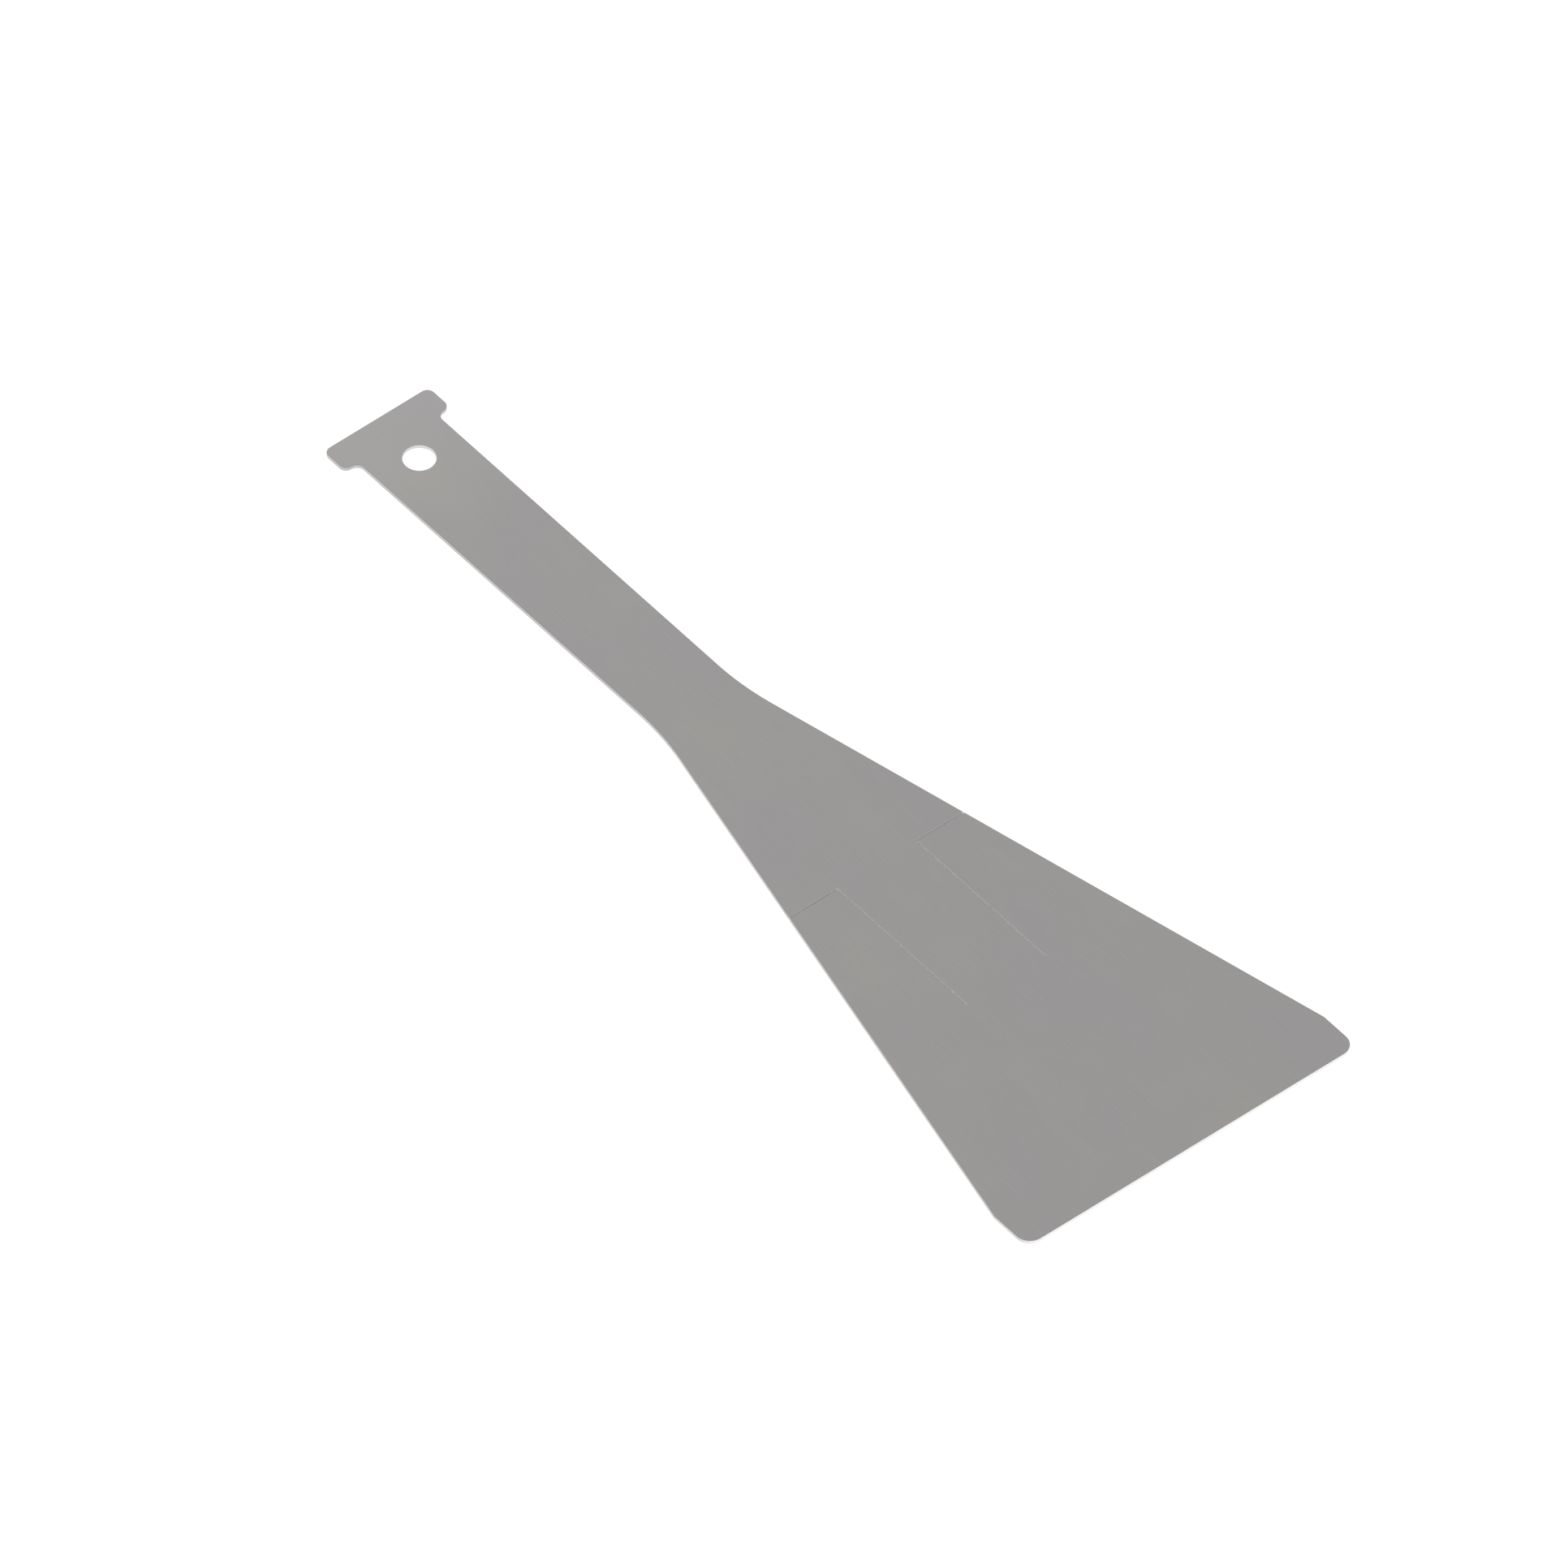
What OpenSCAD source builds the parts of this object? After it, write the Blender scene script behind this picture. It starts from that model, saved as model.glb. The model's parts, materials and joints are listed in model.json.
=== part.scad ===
// Flat one-piece spudger of stainless spring sheet: a T-shaped head with a hanging hole, a slim
// handle and a wide, thin blade. Two L-shaped cuts part the blade's rear into a centre tongue and
// two tabs, which flex up and down on their own.
//
// The sheet is divided into the links that those cuts let bend: the blade, the handle with the
// rear half of the tongue, and the two tabs. Each link turns on a rolled edge in mid-thickness,
// at the place about which the real strip bends.
//
// Frame, in millimetres: the origin is in the middle of the underside, +X points to the blade's
// tip, +Y to the left and +Z up. Stations along the tool are measured from the head's end.

/* [Sheet] */
// Overall length from the head's end to the blade's tip edge
tool_length = 150; // [146:1:160]
// Thickness of the sheet
sheet_t = 0.5; // [0.4:0.05:0.8]

/* [Head] */
// Width of the T-shaped head
head_w = 16; // [16:1:20]
// Length of the head along the tool
head_l = 4; // [3:0.5:5]
// Radius of the head's corners and of the fillets behind it
head_r = 1; // [0.5:0.1:1.2]
// Diameter of the hanging hole
hole_d = 4; // [2:0.5:6]
// Station of the hanging hole's centre
hole_at = 8; // [8:0.5:14]

/* [Handle] */
// Width of the handle and of the tongue that it runs into
handle_w = 12; // [10:0.5:12]
// Station where the handle's sides turn out into the flare
flare_at = 60; // [50:1:70]
// Radius that blends each handle side into the flare
neck_r = 40; // [10:1:60]

/* [Blade] */
// Width of the blade at its tip
blade_w = 50; // [40:1:60]
// Length of the parallel sides at the tip, with the corner rounding
tip_land = 6; // [4:0.5:8]
// Radius of the two tip corners
tip_r = 2; // [1:0.5:3]

/* [Slits] */
// Width of each cut line
kerf = 0.1; // [0.08:0.01:0.2]
// Station of the cross cuts, which open through the blade's sides
slit_at = 92; // [88:1:96]
// Length of the cuts that run along the tool
slit_l = 24; // [20:1:28]

/* [Flexures] */
// Clearance between each rolled edge and the hollow edge that it turns in
hinge_gap = 0.03; // [0.02:0.005:0.05]

/* [Hidden] */
$fn = 128;

steel = [0.61, 0.60, 0.59];

// Tool ends and stations, as x in the tool's frame
x_end = -tool_length / 2;
x_tip = tool_length / 2;
x_hole = x_end + hole_at;
x_flare = x_end + flare_at;
x_land = x_tip - tip_land;
x_slit = x_end + slit_at;
x_slit_end = x_slit + slit_l;

// Half widths
head_y = head_w / 2;
handle_y = handle_w / 2;
blade_y = blade_w / 2;

// The tongue is held at both ends, so it bends about its middle. A tab is free at its rear end:
// its tangent there meets the flat blade a third of the way from the root.
x_tongue_hinge = x_slit + slit_l / 2;
x_tab_hinge = x_slit_end - slit_l / 3;

// Angle of the flare, and the run of the neck's arc on each side of its corner
flare_angle = atan2(blade_y - handle_y, x_land - x_flare);
neck_run = neck_r * tan(flare_angle / 2);

// Plan areas that take in everything across the blade
reach = blade_w;

// Square area between two x values and two y values
module area(x1, x2, y1, y2) {
    translate([x1, y1]) square([x2 - x1, y2 - y1]);
}

// The children on the left side, and their mirror image on the right
module both_sides() {
    children();
    mirror([0, 1, 0]) children();
}

// T-shaped head with four round corners
module head_outline() {
    area(x_end + head_r, x_end + head_l - head_r, -head_y, head_y);
    area(x_end, x_end + head_l, -head_y + head_r, head_y - head_r);
    for (x = [x_end + head_r, x_end + head_l - head_r], y = [-head_y + head_r, head_y - head_r])
        translate([x, y]) circle(r = head_r);
}

// Fillet in the left corner between the head's shoulder and the handle
module head_fillet() {
    x_shoulder = x_end + head_l;
    difference() {
        area(x_shoulder, x_shoulder + head_r, handle_y - head_r, handle_y + head_r);
        translate([x_shoulder + head_r, handle_y + head_r]) circle(r = head_r);
    }
}

// Material under the left arc that blends the handle's side into the flare
module neck_fill() {
    arc_start = [x_flare - neck_run, handle_y];
    arc_end = [x_flare + neck_run * cos(flare_angle), handle_y + neck_run * sin(flare_angle)];
    difference() {
        polygon([[arc_start.x, 0], arc_start, arc_end, [arc_end.x, 0]]);
        translate([arc_start.x, handle_y + neck_r]) circle(r = neck_r, $fn = 360);
    }
}

// Flare from the handle to the tip's parallel sides
module flare_outline() {
    polygon([[x_flare, -handle_y], [x_land, -blade_y], [x_land, blade_y], [x_flare, handle_y]]);
}

// Tip with its two round corners
module tip_outline() {
    area(x_land, x_tip - tip_r, -blade_y, blade_y);
    area(x_land, x_tip, -blade_y + tip_r, blade_y - tip_r);
    for (y = [-blade_y + tip_r, blade_y - tip_r])
        translate([x_tip - tip_r, y]) circle(r = tip_r);
}

// Outline of the whole sheet with its hanging hole, before the slits are cut
module sheet_outline() {
    difference() {
        union() {
            head_outline();
            area(x_end + head_l / 2, x_flare, -handle_y, handle_y);
            both_sides() head_fillet();
            both_sides() neck_fill();
            flare_outline();
            tip_outline();
        }
        translate([x_hole, 0]) circle(d = hole_d);
    }
}

// Left L-shaped slit: in through the side, then along the tongue to a round end
module slit() {
    area(x_slit - kerf / 2, x_slit + kerf / 2, handle_y - kerf / 2, reach);
    area(x_slit - kerf / 2, x_slit_end - kerf / 2, handle_y - kerf / 2, handle_y + kerf / 2);
    translate([x_slit_end - kerf / 2, handle_y]) circle(d = kerf);
}

// Plan area of the left tab, up to its flexure
module tab_area() {
    area(x_slit + kerf / 2, x_tab_hinge, handle_y + kerf / 2, reach);
}

// The sheet at full thickness, inside the plan area of the children
module sheet_within() {
    linear_extrude(sheet_t) intersection() {
        sheet_outline();
        children();
    }
}

// Bar across the tool in mid-thickness, from y1 to y2
module cross_bar(x, r, y1, y2) {
    translate([x, y1, sheet_t / 2]) rotate([-90, 0, 0]) cylinder(r = r, h = y2 - y1);
}

// Left tab with its rolled edge
module tab() {
    sheet_within() tab_area();
    intersection() {
        linear_extrude(sheet_t) sheet_outline();
        cross_bar(x_tab_hinge, sheet_t / 2, handle_y + kerf / 2, reach);
    }
}

// Head, handle, neck, rear part of the flare and rear half of the tongue
module handle() {
    tongue_y = handle_y - kerf / 2;
    color(steel) {
        sheet_within() union() {
            area(x_end - 1, x_slit - kerf / 2, -reach, reach);
            area(x_slit - kerf, x_tongue_hinge, -tongue_y, tongue_y);
        }
        cross_bar(x_tongue_hinge, sheet_t / 2, -tongue_y, tongue_y);
    }
}

// Wide blade with the tip, the tabs' roots and the front half of the tongue
module blade() {
    hollow_r = sheet_t / 2 + hinge_gap;
    color(steel) difference() {
        sheet_within() difference() {
            area(x_tongue_hinge, x_tip + 1, -reach, reach);
            both_sides() area(x_slit, x_tab_hinge, handle_y - kerf / 2, reach);
            both_sides() slit();
        }
        cross_bar(x_tongue_hinge, hollow_r, -handle_y, handle_y);
        both_sides() cross_bar(x_tab_hinge, hollow_r, handle_y, reach);
    }
}

module left_tab() {
    color(steel) tab();
}

module right_tab() {
    color(steel) mirror([0, 1, 0]) tab();
}

blade();
handle();
left_tab();
right_tab();
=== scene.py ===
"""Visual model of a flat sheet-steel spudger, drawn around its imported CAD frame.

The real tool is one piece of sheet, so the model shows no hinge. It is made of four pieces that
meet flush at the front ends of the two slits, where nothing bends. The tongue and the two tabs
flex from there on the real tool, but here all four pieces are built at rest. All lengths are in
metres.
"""
import json
import math

import bmesh
import bpy
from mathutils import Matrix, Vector


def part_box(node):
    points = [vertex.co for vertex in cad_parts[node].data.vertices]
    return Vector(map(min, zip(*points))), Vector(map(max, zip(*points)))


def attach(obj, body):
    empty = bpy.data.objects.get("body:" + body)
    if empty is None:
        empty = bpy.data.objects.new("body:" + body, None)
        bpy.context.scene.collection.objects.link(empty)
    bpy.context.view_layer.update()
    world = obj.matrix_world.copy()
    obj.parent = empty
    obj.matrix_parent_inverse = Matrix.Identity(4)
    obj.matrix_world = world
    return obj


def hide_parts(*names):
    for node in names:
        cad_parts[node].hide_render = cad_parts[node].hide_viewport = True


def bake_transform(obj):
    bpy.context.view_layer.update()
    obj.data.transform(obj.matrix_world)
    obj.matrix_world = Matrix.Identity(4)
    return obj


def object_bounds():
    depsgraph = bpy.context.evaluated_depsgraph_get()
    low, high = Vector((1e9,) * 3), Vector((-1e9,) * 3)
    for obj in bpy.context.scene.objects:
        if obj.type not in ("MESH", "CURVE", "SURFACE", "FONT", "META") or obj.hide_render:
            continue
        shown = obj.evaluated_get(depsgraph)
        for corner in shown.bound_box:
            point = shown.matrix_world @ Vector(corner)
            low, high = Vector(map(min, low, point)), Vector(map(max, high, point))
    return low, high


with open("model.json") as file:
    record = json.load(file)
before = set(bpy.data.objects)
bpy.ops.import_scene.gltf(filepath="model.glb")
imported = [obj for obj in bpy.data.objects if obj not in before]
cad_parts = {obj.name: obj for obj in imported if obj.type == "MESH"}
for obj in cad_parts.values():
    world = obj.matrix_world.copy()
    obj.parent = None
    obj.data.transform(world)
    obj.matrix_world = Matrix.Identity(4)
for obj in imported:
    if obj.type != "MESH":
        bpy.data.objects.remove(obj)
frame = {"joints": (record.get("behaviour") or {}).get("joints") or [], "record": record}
cad_low, cad_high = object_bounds()

MM = 0.001

# ---------------------------------------------------------------- sizes that the CAD model shares
HEAD_W = 16 * MM
HEAD_L = 4 * MM
HEAD_R = 1 * MM
HANDLE_W = 12 * MM
FLARE_AT = 60 * MM
NECK_R = 40 * MM
TIP_LAND = 6 * MM
TIP_R = 2 * MM

# ---------------------------------------------------------------- places read from the frame
joint_x = {joint["name"]: joint["pos_m"][0] for joint in frame["joints"]}
hole = next(m for m in frame["record"]["mounts"] if m["name"] == "hanging_hole")
tab_low, tab_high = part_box("left_tab")

X_END = cad_low.x
X_TIP = cad_high.x
BOTTOM = cad_low.z
TOP = cad_high.z
BLADE_Y = cad_high.y
HEAD_Y = HEAD_W / 2
HANDLE_Y = HANDLE_W / 2
HOLE_X = hole["pos_m"][0]
HOLE_R = hole["dims"]["r_mm"] * MM

HALF_KERF = tab_low.y - HANDLE_Y
X_CROSS_CUT = tab_low.x - HALF_KERF
X_SLIT_END = 2 * joint_x["handle_flex"] - X_CROSS_CUT
X_SEAM = X_SLIT_END - HALF_KERF
X_FLARE = X_END + FLARE_AT
X_LAND = X_TIP - TIP_LAND
FLARE_SLOPE = (BLADE_Y - HANDLE_Y) / (X_LAND - X_FLARE)
FLARE_ANGLE = math.atan(FLARE_SLOPE)
NECK_RUN = NECK_R * math.tan(FLARE_ANGLE / 2)

# ---------------------------------------------------------------- fine detail of the cut sheet
EDGE_BREAK = 0.06 * MM
EDGE_SEGMENTS = 2
CORNER_R = 0.1 * MM
CUT_REACH = HALF_KERF + CORNER_R / 2
ARC_STEP = math.radians(6)
NIP_STEP = math.radians(15)
NECK_STEP = math.radians(0.6)
SLICE = 2 * MM
BEND_SLICE = 0.5 * MM
CREASE = math.radians(40)

# Points closer than this are taken for one point
SAME_PLACE = 0.001 * MM

# Length of the head end that a painted sheen makes a little brighter
PAINTED_SHEEN_LENGTH = 22 * MM


# ================================================================ outlines
def arc(centre, radius, start, end, step=ARC_STEP):
    """Points on a circle from one angle to another, both ends included, in degrees."""
    count = max(2, math.ceil(abs(math.radians(end - start)) / step))
    angles = [math.radians(start + (end - start) * i / count) for i in range(count + 1)]
    return [(centre[0] + radius * math.cos(a), centre[1] + radius * math.sin(a)) for a in angles]


def mirrored(points):
    """The same points on the other side of the tool, in reverse order."""
    return [(x, -y) for x, y in reversed(points)]


def flare_y(x):
    """Half the tool's width at x, on the straight part of the flare."""
    return HANDLE_Y + FLARE_SLOPE * (x - X_FLARE)


def flare_corner(x):
    """Centre, at x, of a small round corner that touches the flare."""
    return (x, flare_y(x) - CORNER_R / math.cos(FLARE_ANGLE))


def head_side():
    """Left side of the T-head, from the fillet behind it round to the middle of its end."""
    shoulder = X_END + HEAD_L
    fillet = arc((shoulder + HEAD_R, HANDLE_Y + HEAD_R), HEAD_R, 270, 180)
    front = arc((shoulder - HEAD_R, HEAD_Y - HEAD_R), HEAD_R, 0, 90)
    rear = arc((X_END + HEAD_R, HEAD_Y - HEAD_R), HEAD_R, 90, 180)
    return fillet + front[1:] + rear


def neck_side():
    """Left side from the cross cut back to the handle, through the neck's arc."""
    x_corner = X_CROSS_CUT - HALF_KERF - CORNER_R
    nip = arc(flare_corner(x_corner), CORNER_R, 0, 90 + math.degrees(FLARE_ANGLE), NIP_STEP)
    centre = (X_FLARE - NECK_RUN, HANDLE_Y + NECK_R)
    neck = arc(centre, NECK_R, 270 + math.degrees(FLARE_ANGLE), 270, NECK_STEP)
    return nip + neck


def tongue_side():
    """Left side of the tongue, from its front end back into the corner of the slit."""
    y = HANDLE_Y - HALF_KERF
    x_cut = X_CROSS_CUT - HALF_KERF
    corner = arc((x_cut + HALF_KERF, y + HALF_KERF), HALF_KERF, 270, 180, NIP_STEP)
    return [(X_SEAM, y)] + corner


def handle_loops():
    """Front and rear parts of the handle and tongue, which meet on the hole's centre line."""
    to_hole = tongue_side() + neck_side() + [(HOLE_X, HANDLE_Y)]
    front_bow = arc((HOLE_X, 0), HOLE_R, 90, -90)
    rear_bow = arc((HOLE_X, 0), HOLE_R, 270, 90)
    behind_hole = [(HOLE_X, HANDLE_Y)] + head_side()
    return [
        to_hole + front_bow + mirrored(to_hole),
        behind_hole + mirrored(behind_hole) + rear_bow,
    ]


def blade_loops():
    """The blade in front of the slits, with a round end to each slit."""
    tip = arc((X_TIP - TIP_R, BLADE_Y - TIP_R), TIP_R, 0, 90)
    slit_end = arc((X_SEAM, HANDLE_Y), HALF_KERF, 90, -90, NIP_STEP)
    side = tip + [(X_LAND, BLADE_Y), (X_SEAM, flare_y(X_SEAM))] + slit_end
    return [side + mirrored(side)]


def left_tab_loops():
    """Left tab, from its free rear end to the front end of the slit."""
    x_corner = X_CROSS_CUT + HALF_KERF + CORNER_R
    inner = HANDLE_Y + HALF_KERF
    outer_nip = arc(flare_corner(x_corner), CORNER_R, 90 + math.degrees(FLARE_ANGLE), 180, NIP_STEP)
    inner_nip = arc((x_corner, inner + CORNER_R), CORNER_R, 180, 270, NIP_STEP)
    return [[(X_SEAM, flare_y(X_SEAM))] + outer_nip + inner_nip + [(X_SEAM, inner)]]


def right_tab_loops():
    return [mirrored(loop) for loop in left_tab_loops()]


# ================================================================ meshes
def slice_stations():
    """x values at which the sheet is sliced across: close together where it bends."""
    bend_start = X_CROSS_CUT
    coarse = int((bend_start - X_END) / SLICE)
    fine = round((X_SLIT_END - bend_start) / BEND_SLICE)
    front = int((X_TIP - X_SLIT_END) / SLICE)
    stations = [X_END + SLICE * (i + 0.5) for i in range(coarse)]
    stations += [bend_start + BEND_SLICE * (i + 0.5) for i in range(fine)]
    stations += [X_SLIT_END + SLICE * (i + 0.5) for i in range(front)]
    return stations


def draw_loops(bm, loops):
    """One flat face on the top side for each loop of points, sliced across the tool."""
    for loop in loops:
        bm.faces.new([bm.verts.new((x, y, TOP)) for x, y in loop])
    bmesh.ops.remove_doubles(bm, verts=bm.verts, dist=SAME_PLACE)
    for x in slice_stations():
        bmesh.ops.bisect_plane(
            bm,
            geom=bm.verts[:] + bm.edges[:] + bm.faces[:],
            dist=SAME_PLACE,
            plane_co=(x, 0, 0),
            plane_no=(1, 0, 0),
        )
    bmesh.ops.recalc_face_normals(bm, faces=bm.faces)
    if bm.faces[:][0].normal.z < 0:
        bmesh.ops.reverse_faces(bm, faces=bm.faces)


def give_thickness(bm):
    """Adds the underside and the walls to a flat top side."""
    top_faces = bm.faces[:]
    rim = [edge for edge in bm.edges if edge.is_boundary]
    below = {v: bm.verts.new((v.co.x, v.co.y, BOTTOM)) for v in bm.verts[:]}
    for face in top_faces:
        bm.faces.new([below[v] for v in reversed(face.verts[:])])
    for edge in rim:
        loop = edge.link_loops[0]
        first, second = loop.vert, loop.link_loop_next.vert
        bm.faces.new([second, first, below[first], below[second]])


def is_seam(edge):
    """True for an edge on the plane where the pieces meet."""
    return all(abs(v.co.x - X_SEAM) < SAME_PLACE for v in edge.verts)


def is_flat(face):
    return abs(face.normal.z) > 0.999


def break_edges(bm):
    """Rounds the rim of both sides a little, as deburring does, but not where pieces meet."""
    bm.normal_update()
    rim = [
        edge
        for edge in bm.edges
        if len({is_flat(face) for face in edge.link_faces}) == 2 and not is_seam(edge)
    ]
    bmesh.ops.bevel(
        bm,
        geom=rim,
        offset=EDGE_BREAK,
        offset_type="OFFSET",
        segments=EDGE_SEGMENTS,
        profile=0.5,
        affect="EDGES",
        clamp_overlap=False,
    )


def in_lengthwise_cut(face):
    """True for a wall or edge break in the part of a slit that runs along the tongue."""
    centre = face.calc_center_median()
    return abs(abs(centre.y) - HANDLE_Y) < CUT_REACH and centre.x > X_CROSS_CUT


def in_cross_cut(face):
    """True for a wall or edge break in the part of a slit that runs in from the side."""
    centre = face.calc_center_median()
    return abs(centre.x - X_CROSS_CUT) < CUT_REACH and abs(centre.y) > HANDLE_Y - CUT_REACH


def in_hole(face):
    """True for a wall or edge break in the hanging hole."""
    centre = face.calc_center_median()
    return math.hypot(centre.x - HOLE_X, centre.y) < HOLE_R + EDGE_BREAK


def finish_of(face):
    """Name of the finish that a face of the sheet has."""
    if is_flat(face):
        return "rolled_face"
    # Lengthwise cuts take the lighter inner wall (painted light); cross cuts and the hole take the
    # darker one (painted shade)
    if in_lengthwise_cut(face):
        return "painted_lit_wall"
    if in_cross_cut(face) or in_hole(face):
        return "painted_shaded_wall"
    if face.calc_center_median().x > X_LAND and abs(face.normal.z) < 0.01:
        return "ground_edge"
    return "cut_edge"


def finish_faces(bm, finishes):
    """Gives each face its finish. Shading is smooth except at creases and beside edge breaks."""
    bm.normal_update()
    for face in bm.faces:
        face.smooth = True
        face.material_index = finishes.index(finish_of(face))
    for edge in bm.edges:
        kinds = {round(abs(face.normal.z), 2) for face in edge.link_faces}
        edge.smooth = not (len(kinds) > 1 and kinds & {0.0, 1.0})
        if edge.calc_face_angle(0) > CREASE:
            edge.smooth = False


def sheet_piece(name, loops, materials):
    """A piece of the sheet with these outlines, at full thickness."""
    bm = bmesh.new()
    draw_loops(bm, loops)
    give_thickness(bm)
    break_edges(bm)
    finish_faces(bm, [material.name for material in materials])
    mesh = bpy.data.meshes.new(name)
    bm.to_mesh(mesh)
    bm.free()
    for material in materials:
        mesh.materials.append(material)
    rest = mesh.attributes.new("rest_place", "FLOAT_VECTOR", "POINT")
    rest.data.foreach_set("vector", [c for v in mesh.vertices for c in v.co])
    piece = bpy.data.objects.new(name, mesh)
    bpy.context.scene.collection.objects.link(piece)
    return piece


# ================================================================ materials
class Nodes:
    """Short calls for a material's node tree. Places in the tree are in millimetres."""

    def __init__(self, name):
        self.material = bpy.data.materials.new(name)
        self.material.use_nodes = True
        self.tree = self.material.node_tree
        self.shader = self.tree.nodes["Principled BSDF"]

    def add(self, kind, **settings):
        node = self.tree.nodes.new(kind)
        for key, value in settings.items():
            setattr(node, key, value)
        return node

    def feed(self, value, socket):
        """Links a socket to another socket, or sets it to a number or a colour."""
        if isinstance(value, float):
            socket.default_value = value
        elif isinstance(value, tuple):
            socket.default_value = (*value, 1)
        else:
            self.tree.links.new(value, socket)

    def place(self):
        """Where a point of the sheet lies at rest, in millimetres."""
        attribute = self.add("ShaderNodeAttribute", attribute_name="rest_place")
        scale = self.add("ShaderNodeVectorMath", operation="SCALE")
        scale.inputs["Scale"].default_value = 1 / MM
        self.feed(attribute.outputs["Vector"], scale.inputs[0])
        return scale.outputs[0]

    def along(self, place, axis):
        """The X, Y or Z of place, in millimetres."""
        node = self.add("ShaderNodeSeparateXYZ")
        self.feed(place, node.inputs[0])
        return node.outputs[axis]

    def stretched(self, place, turn, scale):
        """place turned about Z by turn degrees, then scaled along each axis."""
        turned = self.add("ShaderNodeVectorRotate", rotation_type="Z_AXIS")
        turned.inputs["Angle"].default_value = math.radians(turn)
        self.feed(place, turned.inputs["Vector"])
        scaled = self.add("ShaderNodeVectorMath", operation="MULTIPLY")
        scaled.inputs[1].default_value = scale
        self.feed(turned.outputs[0], scaled.inputs[0])
        return scaled.outputs[0]

    def noise(self, place, detail, roughness, seed):
        node = self.add("ShaderNodeTexNoise", noise_dimensions="4D")
        node.inputs["Scale"].default_value = 1.0
        node.inputs["Detail"].default_value = detail
        node.inputs["Roughness"].default_value = roughness
        node.inputs["W"].default_value = seed
        self.feed(place, node.inputs["Vector"])
        return node.outputs["Fac"]

    def remap(self, value, from_low, from_high, to_low, to_high):
        node = self.add("ShaderNodeMapRange")
        node.inputs["From Min"].default_value = from_low
        node.inputs["From Max"].default_value = from_high
        node.inputs["To Min"].default_value = to_low
        node.inputs["To Max"].default_value = to_high
        self.feed(value, node.inputs["Value"])
        return node.outputs["Result"]

    def math(self, operation, first, second=0.0):
        node = self.add("ShaderNodeMath", operation=operation)
        self.feed(first, node.inputs[0])
        self.feed(second, node.inputs[1])
        return node.outputs[0]

    def mix(self, factor, first, second):
        """Colour from first to second as factor goes from 0 to 1."""
        node = self.add("ShaderNodeMix", data_type="RGBA")
        self.feed(factor, node.inputs["Factor"])
        self.feed(first, node.inputs[6])
        self.feed(second, node.inputs[7])
        return node.outputs[2]

    def shaded(self, colour, shade):
        """colour multiplied by the number shade."""
        node = self.add("ShaderNodeVectorMath", operation="SCALE")
        self.feed(colour, node.inputs[0])
        self.feed(shade, node.inputs["Scale"])
        return node.outputs[0]

    def bump(self, height, distance, below=None):
        """Normal from a height of 0 to 1, which stands for distance in metres."""
        node = self.add("ShaderNodeBump")
        node.inputs["Distance"].default_value = distance
        self.feed(height, node.inputs["Height"])
        if below is not None:
            self.feed(below, node.inputs["Normal"])
        return node.outputs["Normal"]

    def finish(self, colour, roughness, normal):
        """The whole surface is bare metal with this colour, roughness and normal."""
        self.feed(colour, self.shader.inputs["Base Color"])
        self.feed(roughness, self.shader.inputs["Roughness"])
        self.feed(normal, self.shader.inputs["Normal"])
        self.shader.inputs["Metallic"].default_value = 1.0
        return self.material


def rolled_face_material():
    """Cold-rolled stainless: grain, soft mottling, scratches, and a painted sheen on the head end.
    """
    nodes = Nodes("rolled_face")
    place = nodes.place()
    grain = nodes.noise(nodes.stretched(place, 0, (0.10, 7.0, 0.0)), 3.0, 0.6, 1.0)
    fine_grain = nodes.noise(nodes.stretched(place, 0, (0.35, 16.0, 0.0)), 3.0, 0.6, 2.0)
    mottle = nodes.noise(nodes.stretched(place, 0, (0.055, 0.075, 0.0)), 2.0, 0.5, 3.0)
    handling = nodes.noise(nodes.stretched(place, 20, (0.14, 0.20, 0.0)), 3.0, 0.6, 4.0)
    long_marks = nodes.noise(nodes.stretched(place, 3, (0.04, 5.0, 0.0)), 2.0, 0.7, 5.0)
    cross_marks = nodes.noise(nodes.stretched(place, 68, (0.05, 6.5, 0.0)), 2.0, 0.7, 6.0)
    scratches = nodes.math(
        "MAXIMUM",
        nodes.remap(long_marks, 0.67, 0.73, 0.0, 1.0),
        nodes.remap(cross_marks, 0.69, 0.75, 0.0, 1.0),
    )

    warmth = nodes.remap(mottle, 0.35, 0.65, 0.0, 1.0)
    tone = nodes.mix(warmth, (0.628, 0.609, 0.610), (0.650, 0.630, 0.606))
    shade = nodes.remap(grain, 0.3, 0.7, 0.97, 1.03)
    shade = nodes.math("MULTIPLY", shade, nodes.remap(fine_grain, 0.3, 0.7, 0.98, 1.02))
    shade = nodes.math("ADD", shade, nodes.math("MULTIPLY", scratches, 0.04))
    # Painted sheen: the head end is made up to 9% brighter, fading to nothing over this length
    painted_head_sheen = nodes.remap(nodes.along(place, "X"), X_END / MM, (X_END + PAINTED_SHEEN_LENGTH) / MM, 0.09, 0.0)
    shade = nodes.math("ADD", shade, painted_head_sheen)

    rough = nodes.remap(handling, 0.3, 0.7, 0.385, 0.415)
    rough = nodes.math("ADD", rough, nodes.remap(grain, 0.3, 0.7, -0.015, 0.015))
    rough = nodes.math("SUBTRACT", rough, nodes.math("MULTIPLY", scratches, 0.06))

    normal = nodes.bump(grain, 0.0012 * MM)
    normal = nodes.bump(fine_grain, 0.0005 * MM, below=normal)
    normal = nodes.bump(handling, 0.004 * MM, below=normal)
    return nodes.finish(nodes.shaded(tone, shade), rough, normal)


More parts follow.
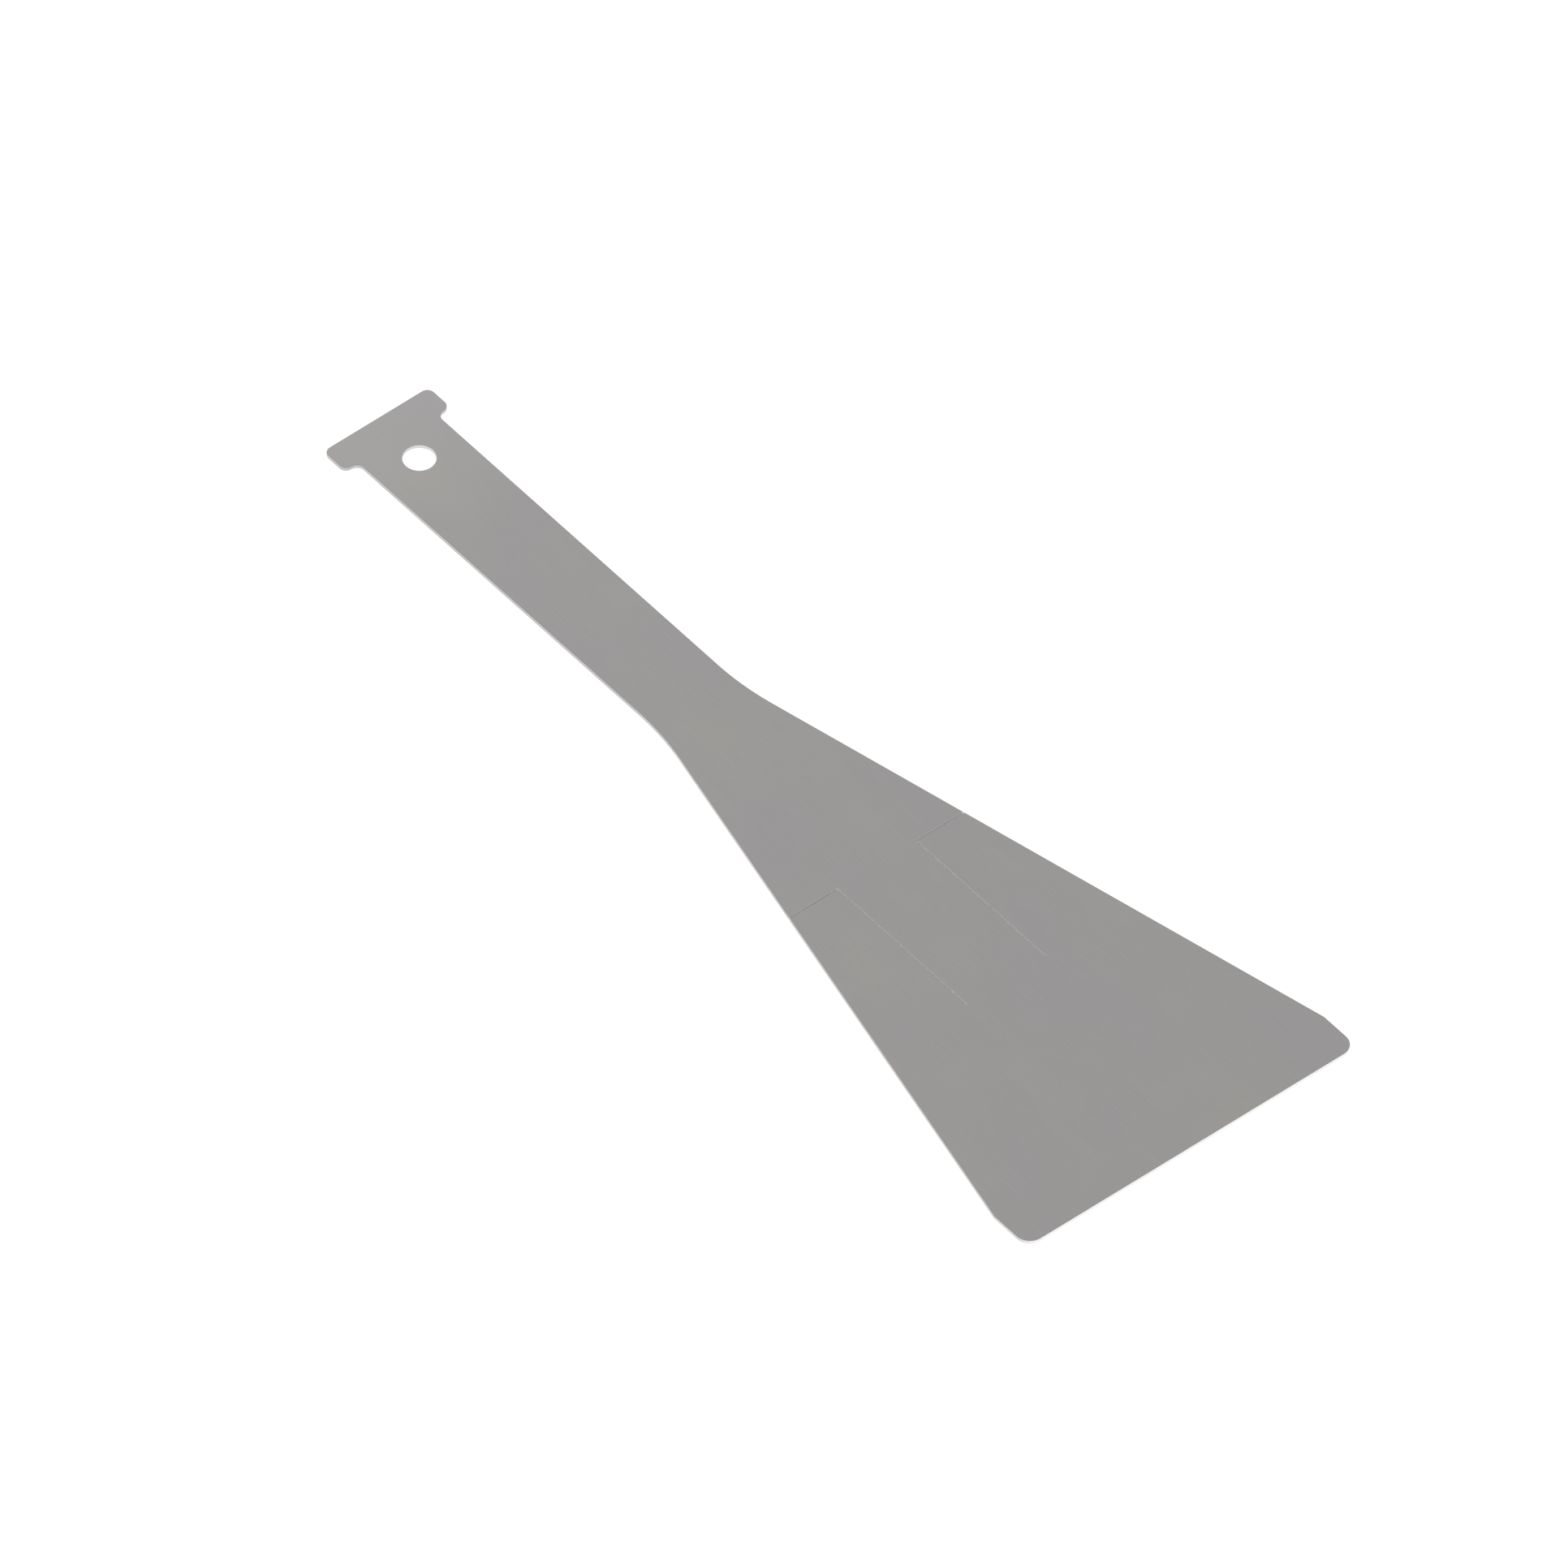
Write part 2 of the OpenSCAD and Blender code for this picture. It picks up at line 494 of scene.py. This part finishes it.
def cut_edge_material():
    """Laser-cut wall: bright, with fine lines across the thickness, rougher towards one side."""
    nodes = Nodes("cut_edge")
    place = nodes.place()
    lines = nodes.noise(nodes.stretched(place, 0, (7.0, 7.0, 0.4)), 2.0, 0.6, 7.0)
    stain = nodes.noise(nodes.stretched(place, 0, (0.5, 0.5, 1.5)), 3.0, 0.6, 8.0)
    exit_side = nodes.remap(nodes.along(place, "Z"), 0.0, 0.3, 1.0, 0.0)

    stained = nodes.remap(stain, 0.35, 0.65, 0.0, 1.0)
    bright = nodes.mix(stained, (0.585, 0.575, 0.565), (0.555, 0.547, 0.532))
    lined = nodes.remap(lines, 0.3, 0.7, 0.0, 1.0)
    dark = nodes.mix(lined, (0.40, 0.385, 0.37), (0.56, 0.55, 0.54))
    colour = nodes.mix(nodes.math("MULTIPLY", exit_side, 0.5), bright, dark)
    rough = nodes.remap(exit_side, 0.0, 1.0, 0.38, 0.55)
    return nodes.finish(colour, rough, nodes.bump(lines, 0.006 * MM))


def ground_edge_material():
    """Wall at the tip: the working edge is ground bright, less so round the corners."""
    nodes = Nodes("ground_edge")
    place = nodes.place()
    lines = nodes.noise(nodes.stretched(place, 0, (30.0, 0.25, 30.0)), 2.0, 0.6, 11.0)
    wear = nodes.noise(nodes.stretched(place, 0, (0.0, 0.35, 1.5)), 3.0, 0.6, 12.0)
    station = nodes.along(place, "X")
    ground = nodes.remap(station, (X_TIP - 0.8 * TIP_R) / MM, X_TIP / MM, 0.0, 1.0)

    worn = nodes.remap(wear, 0.35, 0.65, 0.0, 1.0)
    bright = nodes.mix(worn, (0.90, 0.895, 0.885), (0.84, 0.835, 0.825))
    colour = nodes.mix(ground, (0.66, 0.65, 0.635), bright)
    rough = nodes.math("ADD", nodes.remap(lines, 0.3, 0.7, -0.05, 0.05), 0.34)
    return nodes.finish(colour, rough, nodes.bump(lines, 0.002 * MM))


def inner_wall_material(name, clean, stained, painted_highlight_rims):
    """Wall in a slit or in the hole, clean and stained in patches, with a painted highlight on its
    rims.
    """
    nodes = Nodes(name)
    place = nodes.place()
    lines = nodes.noise(nodes.stretched(place, 0, (9.0, 9.0, 0.4)), 2.0, 0.6, 9.0)
    tint = nodes.noise(nodes.stretched(place, 0, (0.3, 0.3, 2.0)), 2.0, 0.5, 10.0)
    above_middle = nodes.math("SUBTRACT", nodes.along(place, "Z"), (BOTTOM + TOP) / 2 / MM)
    from_middle = nodes.math("ABSOLUTE", above_middle)
    rim_start = ((TOP - BOTTOM) / 2 - 1.5 * EDGE_BREAK) / MM
    # The rims at top and bottom get a painted highlight in their colour, and a lower roughness
    rim = nodes.remap(from_middle, rim_start, rim_start + EDGE_BREAK / MM / 2, 0.0, 1.0)

    wall = nodes.mix(nodes.remap(tint, 0.35, 0.65, 0.0, 1.0), clean, stained)
    colour = nodes.mix(rim, wall, painted_highlight_rims)
    rough = nodes.remap(lines, 0.3, 0.7, 0.40, 0.55)
    rough = nodes.math("SUBTRACT", rough, nodes.math("MULTIPLY", rim, 0.10))
    return nodes.finish(colour, rough, nodes.bump(lines, 0.006 * MM))


# ================================================================ the tool
def sheet_materials():
    """Every finish of the sheet, with lit and shaded copies of the inner wall: painted light and
    shade.
    """
    return [
        rolled_face_material(),
        cut_edge_material(),
        ground_edge_material(),
        # Lighter copy of the inner wall, for the lengthwise cuts: its higher level is painted light
        inner_wall_material(
            "painted_lit_wall",
            clean=(0.80, 0.79, 0.78),
            stained=(0.77, 0.76, 0.74),
            painted_highlight_rims=(0.92, 0.91, 0.90),
        ),
        # Darker copy of the inner wall, for the cross cuts and the hole: its lower level is painted
        # shade
        inner_wall_material(
            "painted_shaded_wall",
            clean=(0.75, 0.74, 0.73),
            stained=(0.71, 0.70, 0.68),
            painted_highlight_rims=(0.86, 0.85, 0.84),
        ),
    ]


def build_tool():
    """The four pieces of the sheet; the blade is put on its body, the other three are built at
    rest.
    """
    materials = sheet_materials()
    blade = sheet_piece("blade_sheet", blade_loops(), materials)
    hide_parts("blade")
    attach(blade, "blade")
    bending = (
        ("handle", "handle_flex", handle_loops()),
        ("left_tab", "left_tab_flex", left_tab_loops()),
        ("right_tab", "right_tab_flex", right_tab_loops()),
    )
    for body, joint, loops in bending:
        piece = sheet_piece(body + "_sheet", loops, materials)
        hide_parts(body)
        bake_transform(piece)


# ================================================================ studio
VIEW_AZIMUTH = 50.44
VIEW_ELEVATION = 47.33

# Width of the view, as a multiple of the tool's diagonal
FRAME_TO_DIAGONAL = 1.1604
CAMERA_DISTANCE = 0.6
FLOOR_DROP = 0.11
FLOOR_SIZE = 6.0
FLOOR_GLOW = 0.95
WALL_AZIMUTH = 10
WALL_TOP = 0.05
CEILING_EDGE = 0.50
WHITE_WALL = (1, 1, 1, 1)
DIM_WALL = (0.10, 0.10, 0.10, 1)
CEILING = (0.518, 0.518, 0.521, 1)


def direction(azimuth, elevation):
    """Unit vector towards a viewer; azimuth 0 is the -Y side and 90 the +X side."""
    a, e = math.radians(azimuth), math.radians(elevation)
    return Vector((math.sin(a) * math.cos(e), -math.cos(a) * math.cos(e), math.sin(e)))


def make_camera():
    """Parallel view from above the blade's right side, centred on the tool."""
    centre = (cad_low + cad_high) / 2
    back = direction(VIEW_AZIMUTH, VIEW_ELEVATION)
    data = bpy.data.cameras.new("camera")
    data.type = "ORTHO"
    data.ortho_scale = FRAME_TO_DIAGONAL * (cad_high - cad_low).length
    data.clip_start = 0.01
    data.clip_end = 10
    camera = bpy.data.objects.new("camera", data)
    camera.location = centre + CAMERA_DISTANCE * back
    camera.rotation_euler = (-back).to_track_quat("-Z", "Y").to_euler()
    bpy.context.scene.collection.objects.link(camera)
    bpy.context.scene.camera = camera


def make_floor():
    """Pale light-table floor, well below the tool so that no view cuts it, clear from below."""
    bpy.ops.mesh.primitive_plane_add(size=FLOOR_SIZE, location=(0, 0, BOTTOM - FLOOR_DROP))
    floor = bpy.context.object
    floor.name = "floor"
    material = bpy.data.materials.new("pale_floor")
    material.use_nodes = True
    tree = material.node_tree
    shader = tree.nodes["Principled BSDF"]
    shader.inputs["Base Color"].default_value = (0.2, 0.2, 0.2, 1)
    shader.inputs["Roughness"].default_value = 1.0
    shader.inputs["Specular IOR Level"].default_value = 0.0
    shader.inputs["Emission Color"].default_value = (1, 1, 1, 1)
    shader.inputs["Emission Strength"].default_value = FLOOR_GLOW
    side = tree.nodes.new("ShaderNodeNewGeometry")
    clear = tree.nodes.new("ShaderNodeBsdfTransparent")
    one_sided = tree.nodes.new("ShaderNodeMixShader")
    tree.links.new(side.outputs["Backfacing"], one_sided.inputs[0])
    tree.links.new(shader.outputs["BSDF"], one_sided.inputs[1])
    tree.links.new(clear.outputs["BSDF"], one_sided.inputs[2])
    tree.links.new(one_sided.outputs[0], tree.nodes["Material Output"].inputs["Surface"])
    floor.data.materials.append(material)


def make_sky():
    """Studio surround: light grey overhead, a white wall on the front side, a dark one behind."""
    world = bpy.data.worlds.new("studio")
    bpy.context.scene.world = world
    world.use_nodes = True
    tree = world.node_tree
    coordinates = tree.nodes.new("ShaderNodeTexCoord")
    facing = tree.nodes.new("ShaderNodeVectorMath")
    facing.operation = "DOT_PRODUCT"
    facing.inputs[1].default_value = direction(WALL_AZIMUTH, 0)
    tree.links.new(coordinates.outputs["Generated"], facing.inputs[0])
    walls = tree.nodes.new("ShaderNodeValToRGB")
    walls.color_ramp.elements[0].position = 0.0
    walls.color_ramp.elements[0].color = DIM_WALL
    walls.color_ramp.elements[1].position = 0.5
    walls.color_ramp.elements[1].color = WHITE_WALL
    tree.links.new(facing.outputs["Value"], walls.inputs["Fac"])

    height = tree.nodes.new("ShaderNodeSeparateXYZ")
    tree.links.new(coordinates.outputs["Generated"], height.inputs[0])
    rise = tree.nodes.new("ShaderNodeMapRange")
    rise.inputs["From Min"].default_value = WALL_TOP
    rise.inputs["From Max"].default_value = CEILING_EDGE
    tree.links.new(height.outputs["Z"], rise.inputs["Value"])
    surround = tree.nodes.new("ShaderNodeMix")
    surround.data_type = "RGBA"
    surround.inputs[7].default_value = CEILING
    tree.links.new(rise.outputs["Result"], surround.inputs["Factor"])
    tree.links.new(walls.outputs["Color"], surround.inputs[6])
    tree.links.new(surround.outputs[2], tree.nodes["Background"].inputs["Color"])


def area_light(name, target, towards, distance, size, power):
    """Square softbox, unseen itself, that faces target from the direction towards."""
    data = bpy.data.lights.new(name, "AREA")
    data.size = size
    data.energy = power
    lamp = bpy.data.objects.new(name, data)
    lamp.location = Vector(target) + distance * towards
    lamp.rotation_euler = (-towards).to_track_quat("-Z", "Y").to_euler()
    lamp.visible_camera = False
    bpy.context.scene.collection.objects.link(lamp)


def make_lights():
    """A sheen towards the head end, a low key light at the tip, and a window on the right side."""
    head, tip, middle = (X_END + HEAD_L, -BLADE_Y, 0), (X_TIP, 0, 0), (0, 0, 0)
    area_light("head_softbox", head, direction(230, 47), distance=0.25, size=0.10, power=0.0035)
    area_light("tip_key", tip, direction(80, 25), distance=0.60, size=0.30, power=0.08)
    area_light("side_window", middle, direction(328, 6), distance=0.60, size=0.25, power=0.17)


make_camera()
make_floor()
make_sky()
make_lights()
bpy.context.scene.view_settings.view_transform = "Standard"
build_tool()
